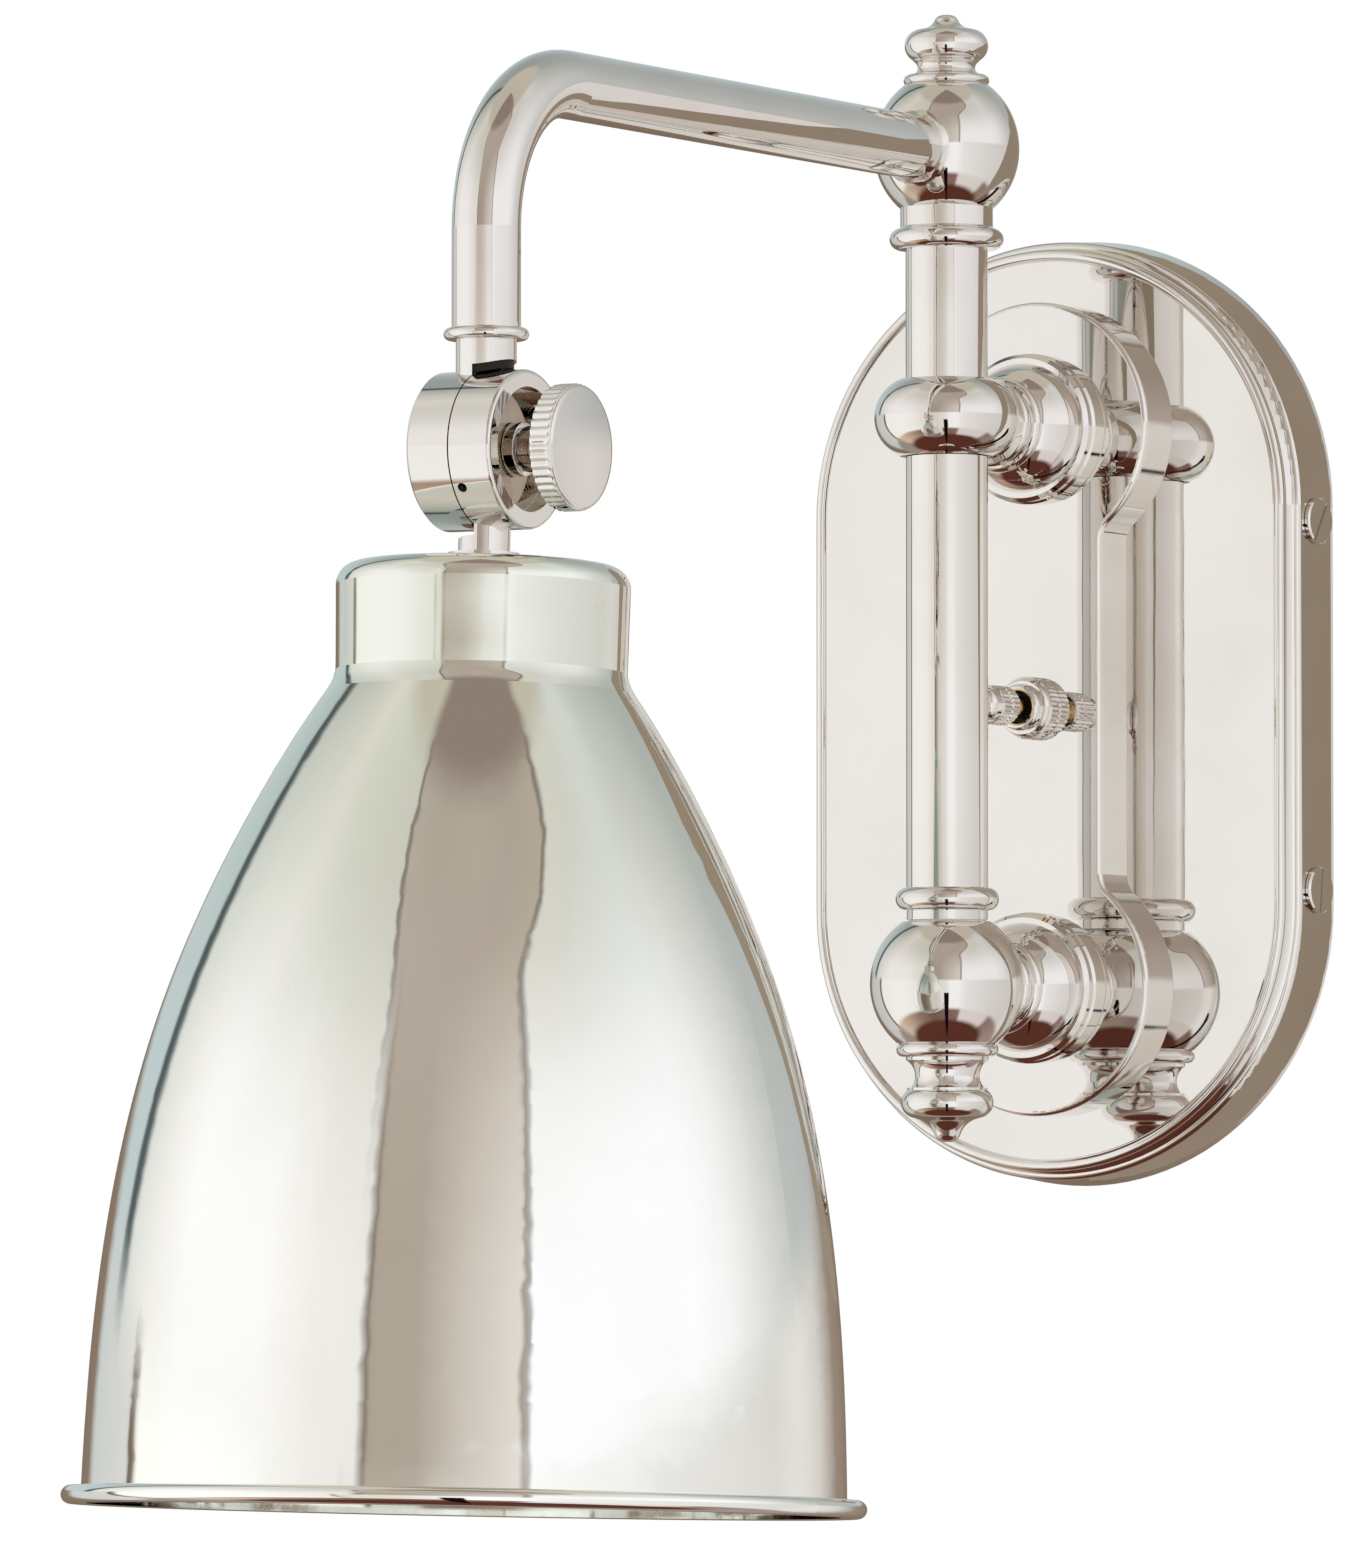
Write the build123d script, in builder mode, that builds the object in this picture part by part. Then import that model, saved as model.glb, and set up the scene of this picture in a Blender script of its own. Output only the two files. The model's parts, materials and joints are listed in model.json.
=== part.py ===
"""Swing arm wall sconce: oval backplate, two standoffs, a turning post with an arm, and a tilting bell shade.

Frame: the wall is the plane Y = 0, the sconce stands out towards -Y, +Z is up, X runs along the wall.
The origin is the middle of the backplate on the wall. Lengths are millimetres, angles are degrees.
"""
from build123d import *
import math
import os

# ---------------------------------------------------------------- driving dimensions
# Backplate and escutcheon
plate_width = 115.0
plate_height = 197.0
wall_depth = 13.4          # height of the pan's side wall
wall_draft = 1.0           # the side wall leans in by this much
plate_face = 17.0          # polished face, in front of the wall
pan_sheet = 1.4            # thickness of the pan's metal
escutcheon_face = 23.4     # front of the dumbbell-shaped plate
escutcheon_fillet = 5.0    # where the lobes run into the bar
lobe_radius = 26.3
lobe_height = 58.0
bar_half_width = 15.6
side_screw_height = 38.0
side_screw_depth = 6.6
screw_hole_radius = 3.3    # through the backplate and escutcheon, for the standoff screws
bushing_clearance = 0.15   # round the switch bushing

# Standoffs and the turning post
standoff_height = 57.8     # both standoffs stand this far from the middle
standoff_end = 45.0        # front end of a standoff, from the wall
post_out = 61.3            # post axis, from the wall
post_radius = 8.4
knuckle_radius = 14.8
knuckle_height = 17.0
lower_ball_radius = 15.8
pin_radius = 4.0
running_gap = 0.06         # radial clearance of a turning fit
seat_gap = 0.02            # radial clearance of a fixed fit

# Arm
ball_height = 112.9
ball_half_width = 14.9
ball_half_height = 15.9
tube_radius = 6.6
tube_bore = 5.4
arm_height = 112.0
arm_reach = 186.0          # post axis to drop axis
bend_radius = 30.0
drop_end = 63.9            # lower end of the drop tube
socket_depth = 17.5        # the arm's stub on the ball, from the post axis

# Swivel
drum_height = 39.5
drum_radius = 15.2
seam_place = 0.4           # the seam between the halves stands this far beside the drop tube's axis
left_half_width = 9.4
right_half_width = 9.0
seam_gap = 0.15            # half of the gap between the two halves
neck_clearance = 17.2      # radius to which a neck is cut back over the other half
lean = 2.3                 # the shade's rest lean, away from the wall
neck_radius = 5.8
stem_radius = 4.95
thread_radius = 4.75
wire_bore = 3.0
shank_radius = 3.0
head_radius = 12.1

# Shade, measured down from the swivel's axis
shade_top = 20.8
shade_sheet = 1.0
shade_collar_radius = 28.0
shade_collar_end = 42.3
shade_rim = 201.0
shade_rim_radius = 72.2
bead_radius = 1.75

# Lampholder, measured down from the swivel's axis
holder_top = 28.6
holder_mouth = 68.0
holder_radius = 18.5
shell_radius = 13.25       # inside of the lamp's screw shell
shell_sheet = 0.5

# Switch
switch_body_radius = 12.0
switch_bushing_radius = 4.75
switch_shaft_radius = 2.4
switch_nut_radius = 6.5
switch_knob_radius = 4.1

os.makedirs("parts", exist_ok=True)

# ---------------------------------------------------------------- reference planes and axes
plate_end = (plate_height - plate_width) / 2
drop_out = post_out + arm_reach
tilt = math.radians(lean)
drum_centre = Vector(0, -drop_out, drum_height)
swivel_way = Vector(1, 0, 0)
outward = Vector(0, -1, 0)
stem_up = Vector(0, 0, 1) * math.cos(tilt) - outward * math.sin(tilt)

post_plane = Plane(origin=(0, -post_out, 0), x_dir=(1, 0, 0), z_dir=(0, -1, 0))
post_axis = Axis((0, -post_out, 0), (0, 0, 1))
drop_plane = Plane(origin=(0, -drop_out, 0), x_dir=(1, 0, 0), z_dir=(0, -1, 0))
drop_axis = Axis((0, -drop_out, 0), (0, 0, 1))
seam_centre = drum_centre + swivel_way * seam_place
swivel_plane = Plane(origin=seam_centre, x_dir=swivel_way, z_dir=outward)
swivel_axis = Axis(drum_centre, swivel_way)
lamp_plane = Plane(origin=drum_centre, x_dir=swivel_way, z_dir=swivel_way.cross(stem_up))
lamp_axis = Axis(drum_centre, stem_up)
across_swivel = Plane(origin=seam_centre, x_dir=outward, z_dir=swivel_way)


def forward_plane(height):
    """A section plane whose first axis is X and whose second runs out from the wall, at a given height."""
    return Plane(origin=(0, 0, height), x_dir=(1, 0, 0), z_dir=(0, 0, -1))


def below(distance):
    """A plane square to the stem, a given distance below the swivel's axis, facing down."""
    return Plane(origin=drum_centre - stem_up * distance, x_dir=swivel_way, z_dir=-stem_up)


def save(builder, name):
    """Label a finished piece and write its STEP file."""
    builder.part.label = name
    export_step(builder.part, f"parts/{name}.step")


# ---------------------------------------------------------------- mounting bracket
bracket_sheet = 2.0
bracket_half_width = 54.4
bracket_arm = 13.0
ear_reach = 11.0
slot_spacing = 79.4
slot_length = 14.5
slot_width = 5.0
ground_place = (24, -18)
side_hole_radius = 2.0

# The side wall leans in towards the front, and its screws and the bracket's ears are square to it
wall_lean = math.atan(wall_draft / wall_depth)
side_wall_x = plate_width / 2 - wall_draft * side_screw_depth / wall_depth


def side_screw_plane(side, level):
    """The plane of a side screw's seat on the side wall, facing out."""
    return Plane(
        origin=(side * side_wall_x, -side_screw_depth, level * side_screw_height),
        x_dir=(0, 0, 1),
        z_dir=(side * math.cos(wall_lean), -math.sin(wall_lean), 0),
    )


with BuildPart() as mounting_bracket:
    with BuildSketch(Plane.XZ):
        RectangleRounded(62, 104, 6)
        with Locations((0, side_screw_height), (0, -side_screw_height)):
            Rectangle(2 * bracket_half_width, bracket_arm)
        Circle(17, mode=Mode.SUBTRACT)
        with Locations((0, slot_spacing / 2), (0, -slot_spacing / 2)):
            SlotOverall(slot_length, slot_width, rotation=90, mode=Mode.SUBTRACT)
        with Locations(ground_place):
            Circle(2.0, mode=Mode.SUBTRACT)
    extrude(amount=bracket_sheet)
    for side in (-1, 1):
        for level in (-1, 1):
            ear_x = side * (bracket_half_width - bracket_sheet / 2)
            with Locations((ear_x, -ear_reach / 2, level * side_screw_height)):
                Box(bracket_sheet, ear_reach, bracket_arm)
            with BuildSketch(side_screw_plane(side, level)):
                Circle(side_hole_radius)
            extrude(amount=-7, mode=Mode.SUBTRACT)
save(mounting_bracket, "mounting_bracket")

with BuildPart() as ground_screw:
    with BuildSketch(Plane.XZ.offset(bracket_sheet)):
        with Locations(ground_place):
            RegularPolygon(4.0, 6)
    extrude(amount=2.8)
    with BuildSketch(Plane.XZ):
        with Locations(ground_place):
            Circle(2.0 - seat_gap)
    extrude(amount=bracket_sheet)
save(ground_screw, "ground_screw")

# ---------------------------------------------------------------- backplate
half_width = plate_width / 2
lip = half_width - wall_draft
inner_foot = half_width - pan_sheet
inner_step = wall_depth - pan_sheet

with BuildSketch(Plane.XY) as pan_section:
    with BuildLine():
        Line((half_width, 0), (lip, -wall_depth + 1.3))
        TangentArc((lip, -wall_depth + 1.3), (lip - 1.3, -wall_depth), tangent=(0, -1))
        ThreePointArc(
            (lip - 1.3, -wall_depth),
            (lip - 2.1, -wall_depth - 0.7),
            (lip - 2.6, -wall_depth - 2.0),
        )
        ThreePointArc(
            (lip - 2.6, -wall_depth - 2.0),
            (lip - 3.3, -plate_face - 0.7),
            (lip - 4.2, -plate_face + 0.1),
        )
        Polyline(
            (lip - 4.2, -plate_face + 0.1),
            (lip - 4.4, -plate_face),
            (0, -plate_face),
            (0, -plate_face + pan_sheet),
            (lip - 4.4, -plate_face + pan_sheet),
            (lip - 4.4, -inner_step),
            (inner_foot - wall_draft, -inner_step),
            (inner_foot, 0),
            (half_width, 0),
        )
    make_face()

with BuildPart() as backplate:
    with BuildSketch(Plane.XY):
        add(pan_section.sketch)
        mirror(about=Plane.YZ)
    extrude(amount=plate_end, both=True)
    for level in (-1, 1):
        with BuildSketch(Plane.XY.offset(level * plate_end)):
            add(pan_section.sketch)
        revolve(axis=Axis((0, 0, level * plate_end), (0, -level, 0)), revolution_arc=180)
    with Locations((0, -plate_face, standoff_height), (0, -plate_face, -standoff_height)):
        Cylinder(screw_hole_radius, 10, rotation=(90, 0, 0), mode=Mode.SUBTRACT)
    with Locations((0, -plate_face, 0)):
        Cylinder(switch_bushing_radius + bushing_clearance, 10, rotation=(90, 0, 0), mode=Mode.SUBTRACT)
    with Locations((0, -side_screw_depth, side_screw_height), (0, -side_screw_depth, -side_screw_height)):
        Cylinder(2.3, 2 * plate_width, rotation=(0, 90, 0), mode=Mode.SUBTRACT)
save(backplate, "backplate")

# Slotted screws through the side wall into the bracket's ears, their heads almost flush with the wall
side_head_radius = 4.8
side_head_sheet = 1.1
side_head_chamfer = 0.35
slot_angles = {(-1, -1): 20, (-1, 1): -40, (1, -1): -6, (1, 1): -32}
with BuildPart() as side_screws:
    for (side, level), slot_angle in slot_angles.items():
        seat = side_screw_plane(side, level)
        with BuildSketch(seat.offset(seat_gap)):
            Circle(side_head_radius)
        extrude(amount=side_head_sheet)
        rims = side_screws.edges(Select.LAST).filter_by(GeomType.CIRCLE).sort_by(Axis.X)
        chamfer(rims[-1] if side > 0 else rims[0], side_head_chamfer)
        with BuildSketch(seat.offset(side_head_sheet / 2)):
            Rectangle(2 * side_head_radius + 1, 0.8, rotation=slot_angle)
        extrude(amount=1.0, mode=Mode.SUBTRACT)
        with BuildSketch(seat.offset(seat_gap)):
            Circle(side_hole_radius - seat_gap)
        extrude(amount=-6.5)
save(side_screws, "side_screws")

# ---------------------------------------------------------------- escutcheon
with BuildPart() as escutcheon:
    with BuildSketch(Plane.XZ.offset(plate_face)) as dumbbell:
        with Locations((0, lobe_height), (0, -lobe_height)):
            Circle(lobe_radius)
        Rectangle(2 * bar_half_width, 2 * lobe_height)
        inner_corners = dumbbell.vertices().group_by(lambda corner: round(abs(corner.X), 1))[0]
        fillet(inner_corners, escutcheon_fillet)
        with Locations((0, standoff_height), (0, -standoff_height)):
            Circle(screw_hole_radius, mode=Mode.SUBTRACT)
        Circle(switch_bushing_radius + bushing_clearance, mode=Mode.SUBTRACT)
    extrude(amount=escutcheon_face - plate_face)
    front = escutcheon.faces().sort_by(Axis.Y)[0]
    fillet(front.outer_wire().edges(), 1.1)
save(escutcheon, "escutcheon")

# ---------------------------------------------------------------- standoffs
bell_start = escutcheon_face + 5.3
bell_end = escutcheon_face + 13.4
for place, level in (("upper", 1), ("lower", -1)):
    height = level * standoff_height
    with BuildPart() as standoff:
        with BuildSketch(forward_plane(height)):
            with BuildLine():
                Polyline(
                    (0, escutcheon_face),
                    (15.6, escutcheon_face),
                    (15.6, escutcheon_face + 2.0),
                    (15.1, escutcheon_face + 2.5),
                    (15.1, escutcheon_face + 2.9),
                    (15.3, escutcheon_face + 3.1),
                    (15.3, escutcheon_face + 4.5),
                    (14.5, bell_start),
                    (13.4, bell_start),
                )
                ThreePointArc((13.4, bell_start), (12.2, bell_start + 4.2), (8.8, bell_end))
                Line((8.8, bell_end), (9.0, bell_end + 0.4))
                ThreePointArc((9.0, bell_end + 0.4), (9.9, bell_end + 1.8), (9.0, bell_end + 3.2))
                Polyline((9.0, bell_end + 3.2), (8.2, bell_end + 3.4), (8.2, bell_end + 4.4))
                ThreePointArc(
                    (8.2, bell_end + 4.4), (8.9, bell_end + 5.4), (8.2, bell_end + 6.4)
                )
                Polyline(
                    (8.2, bell_end + 6.4),
                    (7.3, bell_end + 6.8),
                    (7.3, standoff_end),
                    (0, standoff_end),
                    (0, escutcheon_face),
                )
            make_face()
        revolve(axis=Axis((0, 0, height), (0, 1, 0)))
        with Locations((0, -escutcheon_face - 6, height)):
            Cylinder(3.0 + seat_gap, 12.2, rotation=(90, 0, 0), mode=Mode.SUBTRACT)
        with Locations((0, -standoff_end + 4, height)):
            Cylinder(4.0 + seat_gap, 8.2, rotation=(90, 0, 0), mode=Mode.SUBTRACT)
    save(standoff, f"{place}_standoff")

inside_face = plate_face - pan_sheet
washer_sheet = 1.2
with BuildPart() as standoff_washers:
    for level in (-1, 1):
        with BuildSketch(Plane.XZ.offset(inside_face - washer_sheet)):
            with Locations((0, level * standoff_height)):
                Circle(7.0)
                Circle(3.2, mode=Mode.SUBTRACT)
        extrude(amount=washer_sheet)
save(standoff_washers, "standoff_washers")

with BuildPart() as standoff_screws:
    for level in (-1, 1):
        with BuildSketch(Plane.XZ.offset(inside_face - washer_sheet)):
            with Locations((0, level * standoff_height)):
                RegularPolygon(5.7, 6)
        extrude(amount=-4.0)
        with BuildSketch(Plane.XZ.offset(inside_face - washer_sheet)):
            with Locations((0, level * standoff_height)):
                Circle(3.0)
        extrude(amount=escutcheon_face + 11 - inside_face + washer_sheet)
save(standoff_screws, "standoff_screws")

# ---------------------------------------------------------------- upper knuckle, a ring round the post
bush_radius = post_radius + 1.1
with BuildPart() as upper_knuckle:
    with BuildSketch(post_plane):
        with Locations((knuckle_radius - knuckle_height / 2, standoff_height)):
            Circle(knuckle_height / 2)
        with Locations((-10, standoff_height)):
            Rectangle(20, 40, mode=Mode.SUBTRACT)
    revolve(axis=post_axis)
    with Locations((0, -standoff_end - 6, standoff_height)):
        Cylinder(7.2, 12, rotation=(90, 0, 0))
    with Locations((0, -standoff_end + 3.5, standoff_height)):
        Cylinder(4.0, 8, rotation=(90, 0, 0))
    with Locations((0, -post_out, standoff_height)):
        Cylinder(bush_radius + seat_gap, 30, mode=Mode.SUBTRACT)
save(upper_knuckle, "upper_knuckle")

with BuildPart() as knuckle_bush:
    with Locations((0, -post_out, standoff_height)):
        Cylinder(bush_radius, knuckle_height - 2.4)
        Cylinder(post_radius + running_gap, knuckle_height, mode=Mode.SUBTRACT)
save(knuckle_bush, "knuckle_bush")

# ---------------------------------------------------------------- lower ball, its bush and its finial
ball_top = 45.1
ball_foot = 69.9
lower_bush_radius = 6.0
bush_foot = 60.0
with BuildPart() as lower_ball:
    with Locations((0, -post_out, -standoff_height)):
        Sphere(lower_ball_radius)
    with Locations((0, -standoff_end - 5, -standoff_height)):
        Cylinder(7.2, 10, rotation=(90, 0, 0))
    with Locations((0, -standoff_end + 3.5, -standoff_height)):
        Cylinder(4.0, 8, rotation=(90, 0, 0))
    with Locations((0, -post_out, -ball_top)):
        Box(40, 32, 20, align=(Align.CENTER, Align.CENTER, Align.MIN), mode=Mode.SUBTRACT)
    with Locations((0, -post_out, -ball_foot)):
        Box(40, 32, 20, align=(Align.CENTER, Align.CENTER, Align.MAX), mode=Mode.SUBTRACT)
    with BuildSketch(Plane((0, -post_out, -ball_top))):
        Circle(lower_bush_radius + seat_gap)
    extrude(amount=-(bush_foot - ball_top), mode=Mode.SUBTRACT)
    with BuildSketch(Plane((0, -post_out, -ball_foot))):
        Circle(6.6)
    extrude(amount=ball_foot - bush_foot, mode=Mode.SUBTRACT)
save(lower_ball, "lower_ball")

with BuildPart() as lower_bush:
    with BuildSketch(Plane((0, -post_out, -bush_foot))):
        Circle(lower_bush_radius)
        Circle(pin_radius + running_gap, mode=Mode.SUBTRACT)
    extrude(amount=bush_foot - ball_top)
save(lower_bush, "lower_bush")

with BuildPart() as lower_finial:
    with BuildSketch(post_plane):
        with BuildLine():
            Polyline((0, -66.2), (6.55, -66.2), (6.55, -ball_foot), (9.7, -ball_foot))
            ThreePointArc((9.7, -ball_foot), (10.4, -71.3), (9.2, -72.6))
            Polyline((9.2, -72.6), (8.5, -72.7), (8.4, -73.3))
            ThreePointArc((8.4, -73.3), (6.6, -76.4), (7.5, -78.8))
            Polyline((7.5, -78.8), (8.2, -78.9), (8.2, -79.4))
            ThreePointArc((8.2, -79.4), (9.45, -82.0), (7.2, -84.9))
            Line((7.2, -84.9), (6.2, -85.2))
            ThreePointArc((6.2, -85.2), (3.9, -86.4), (2.7, -88.3))
            ThreePointArc((2.7, -88.3), (1.9, -89.4), (0.6, -89.9))
            Polyline((0.6, -89.9), (0, -89.9), (0, -66.2))
        make_face()
    revolve(axis=post_axis)
save(lower_finial, "lower_finial")

# ---------------------------------------------------------------- switch at the middle of the escutcheon
bushing_end = escutcheon_face + 4.4
with BuildPart() as switch_body:
    with BuildSketch(Plane.XZ.offset(inside_face - 11.4)):
        Circle(switch_body_radius)
    extrude(amount=11.4)
    with BuildSketch(Plane.XZ.offset(inside_face)):
        Circle(switch_bushing_radius)
    extrude(amount=bushing_end - inside_face)
    with BuildSketch(Plane.XZ.offset(inside_face - 8)):
        Circle(switch_shaft_radius + running_gap)
    extrude(amount=30, mode=Mode.SUBTRACT)
save(switch_body, "switch_body")

with BuildPart() as switch_nut:
    with BuildSketch(forward_plane(0)):
        with BuildLine():
            Polyline(
                (switch_bushing_radius + seat_gap, escutcheon_face),
                (switch_nut_radius, escutcheon_face),
                (switch_nut_radius, escutcheon_face + 3.8),
                (5.6, escutcheon_face + 5.2),
                (4.9, escutcheon_face + 5.2),
                (4.7, escutcheon_face + 7.0),
                (3.9, escutcheon_face + 7.4),
                (3.3, escutcheon_face + 6.6),
                (3.3, bushing_end),
                (switch_bushing_radius + seat_gap, bushing_end),
                close=True,
            )
        make_face()
    revolve(axis=Axis((0, 0, 0), (0, 1, 0)))
save(switch_nut, "switch_nut")

knob_start = 36.0
knob_end = 47.6
with BuildPart() as switch_shaft:
    with BuildSketch(Plane.XZ.offset(inside_face - 7.6)):
        Circle(switch_shaft_radius)
    extrude(amount=knob_start + 5 - inside_face + 7.6)
save(switch_shaft, "switch_shaft")

with BuildPart() as switch_knob:
    with BuildSketch(forward_plane(0)):
        with BuildLine():
            Polyline(
                (0, knob_start + 5),
                (switch_shaft_radius + seat_gap, knob_start + 5),
                (switch_shaft_radius + seat_gap, knob_start),
                (3.6, knob_start),
                (switch_knob_radius, knob_start + 0.5),
                (switch_knob_radius, knob_start + 7.4),
                (3.7, knob_start + 7.9),
                (3.7, knob_end - 1.4),
            )
            ThreePointArc((3.7, knob_end - 1.4), (2.6, knob_end - 0.4), (0.8, knob_end))
            Polyline((0.8, knob_end), (0, knob_end), (0, knob_start + 5))
        make_face()
    revolve(axis=Axis((0, 0, 0), (0, 1, 0)))
save(switch_knob, "switch_knob")

# ---------------------------------------------------------------- post and what turns with it
collar_floor = 42.0
collar_foot = 44.7
post_top = 108.0
with BuildPart() as post:
    with BuildSketch(Plane((0, -post_out, -collar_floor))):
        Circle(post_radius)
        Circle(5.5, mode=Mode.SUBTRACT)
    extrude(amount=collar_floor + post_top)
save(post, "post")

with BuildPart() as lower_collar:
    with BuildSketch(post_plane):
        with BuildLine():
            Polyline((pin_radius + seat_gap, -collar_foot), (8.3, -collar_foot), (8.3, -42.9), (9.2, -42.7))
            ThreePointArc((9.2, -42.7), (10.6, -40.5), (9.2, -38.2))
            Polyline(
                (9.2, -38.2),
                (post_radius + seat_gap, -38.2),
                (post_radius + seat_gap, -collar_floor),
                (pin_radius + seat_gap, -collar_floor),
                (pin_radius + seat_gap, -collar_foot),
            )
        make_face()
    revolve(axis=post_axis)
save(lower_collar, "lower_collar")

with BuildPart() as thrust_washer:
    with BuildSketch(Plane((0, -post_out, -ball_top + 0.05))):
        Circle(7.9)
        Circle(pin_radius + seat_gap, mode=Mode.SUBTRACT)
    extrude(amount=ball_top - collar_foot - 0.05)
save(thrust_washer, "thrust_washer")

with BuildPart() as pivot_pin:
    with BuildSketch(Plane((0, -post_out, -collar_floor))):
        Circle(5.5 - seat_gap)
    extrude(amount=9)
    with BuildSketch(Plane((0, -post_out, -65.2))):
        Circle(pin_radius)
    extrude(amount=65.2 - collar_floor)
save(pivot_pin, "pivot_pin")

with BuildPart() as pivot_nut:
    with BuildSketch(Plane((0, -post_out, -64.6))):
        RegularPolygon(5.7, 6)
        Circle(pin_radius + seat_gap, mode=Mode.SUBTRACT)
    extrude(amount=4.2)
save(pivot_nut, "pivot_nut")

collar_top = 100.7
with BuildPart() as upper_collar:
    with BuildSketch(post_plane):
        with BuildLine():
            Polyline((post_radius + seat_gap, 92.2), (9.8, 92.2))
            ThreePointArc((9.8, 92.2), (11.66, 94.3), (9.9, 96.4))
            Polyline(
                (9.9, 96.4),
                (9.47, 96.8),
                (9.47, collar_top),
                (post_radius + seat_gap, collar_top),
                (post_radius + seat_gap, 92.2),
            )
        make_face()
    revolve(axis=post_axis)
save(upper_collar, "upper_collar")

flange_height = 125.8
stud_radius = 3.0
stud_length = 9.0
with BuildPart() as upper_ball:
    with BuildSketch(post_plane):
        with Locations((0, ball_height)):
            Ellipse(ball_half_width, ball_half_height)
        with Locations((-20, ball_height)):
            Rectangle(40, 60, mode=Mode.SUBTRACT)
        with Locations((0, collar_top)):
            Rectangle(60, 20, align=(Align.CENTER, Align.MAX), mode=Mode.SUBTRACT)
        with Locations((0, flange_height)):
            Rectangle(60, 20, align=(Align.CENTER, Align.MIN), mode=Mode.SUBTRACT)
    revolve(axis=post_axis)
    with BuildSketch(Plane((0, -post_out, arm_height), x_dir=(1, 0, 0), z_dir=(0, -1, 0))):
        Circle(tube_radius)
    extrude(amount=socket_depth)
    joint_edges = upper_ball.edges().filter_by_position(Axis.Y, -post_out - 16, -post_out - 11)
    fillet(joint_edges, 2.6)
    with BuildSketch(Plane((0, -post_out - socket_depth, arm_height), x_dir=(1, 0, 0), z_dir=(0, -1, 0))):
        Circle(tube_bore - seat_gap)
    extrude(amount=8)
    with BuildSketch(Plane((0, -post_out, collar_top))):
        Circle(post_radius + seat_gap)
    extrude(amount=post_top - collar_top, mode=Mode.SUBTRACT)
    with BuildSketch(Plane((0, -post_out, flange_height))):
        Circle(stud_radius + seat_gap)
    extrude(amount=-stud_length - 1, mode=Mode.SUBTRACT)
save(upper_ball, "upper_ball")

with BuildPart() as top_finial:
    with BuildSketch(post_plane):
        with BuildLine():
            Polyline(
                (0, flange_height - stud_length),
                (stud_radius, flange_height - stud_length),
                (stud_radius, flange_height),
                (8.1, flange_height),
            )
            ThreePointArc((8.1, flange_height), (8.76, 126.9), (8.0, 127.9))
            Line((8.0, 127.9), (6.9, 128.1))
            ThreePointArc((6.9, 128.1), (5.9, 129.2), (6.6, 130.7))
            Line((6.6, 130.7), (6.9, 131.1))
            ThreePointArc((6.9, 131.1), (8.55, 133.9), (6.4, 137.1))
            Line((6.4, 137.1), (4.6, 137.5))
            ThreePointArc((4.6, 137.5), (3.1, 138.3), (2.3, 139.5))
            ThreePointArc((2.3, 139.5), (1.6, 140.1), (0.6, 140.3))
            Polyline((0.6, 140.3), (0, 140.3), (0, flange_height - stud_length))
        make_face()
    revolve(axis=post_axis)
save(top_finial, "top_finial")

# ---------------------------------------------------------------- arm tube
with BuildPart() as arm_tube:
    with BuildLine():
        FilletPolyline(
            (0, -post_out - socket_depth, arm_height),
            (0, -drop_out, arm_height),
            (0, -drop_out, drop_end),
            radius=bend_radius,
        )
    with BuildSketch(Plane((0, -post_out - socket_depth, arm_height), x_dir=(1, 0, 0), z_dir=(0, -1, 0))):
        Circle(tube_radius)
        Circle(tube_bore, mode=Mode.SUBTRACT)
    sweep()
save(arm_tube, "arm_tube")

with BuildPart() as arm_end_bush:
    with BuildSketch(Plane((0, -drop_out, drop_end))):
        Circle(tube_bore - seat_gap)
        Circle(thread_radius + seat_gap, mode=Mode.SUBTRACT)
    extrude(amount=10)
save(arm_end_bush, "arm_end_bush")

neck_top = 60.5
with BuildPart() as arm_end_collar:
    with BuildSketch(drop_plane):
        with BuildLine():
            Polyline((thread_radius + seat_gap, neck_top), (7.1, neck_top))
            ThreePointArc((7.1, neck_top), (8.15, 61.7), (7.1, 62.9))
            Polyline(
                (7.1, 62.9),
                (tube_radius, 63.0),
                (tube_radius, drop_end),
                (thread_radius + seat_gap, drop_end),
                (thread_radius + seat_gap, neck_top),
            )
        make_face()
    revolve(axis=drop_axis)
save(arm_end_collar, "arm_end_collar")

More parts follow.
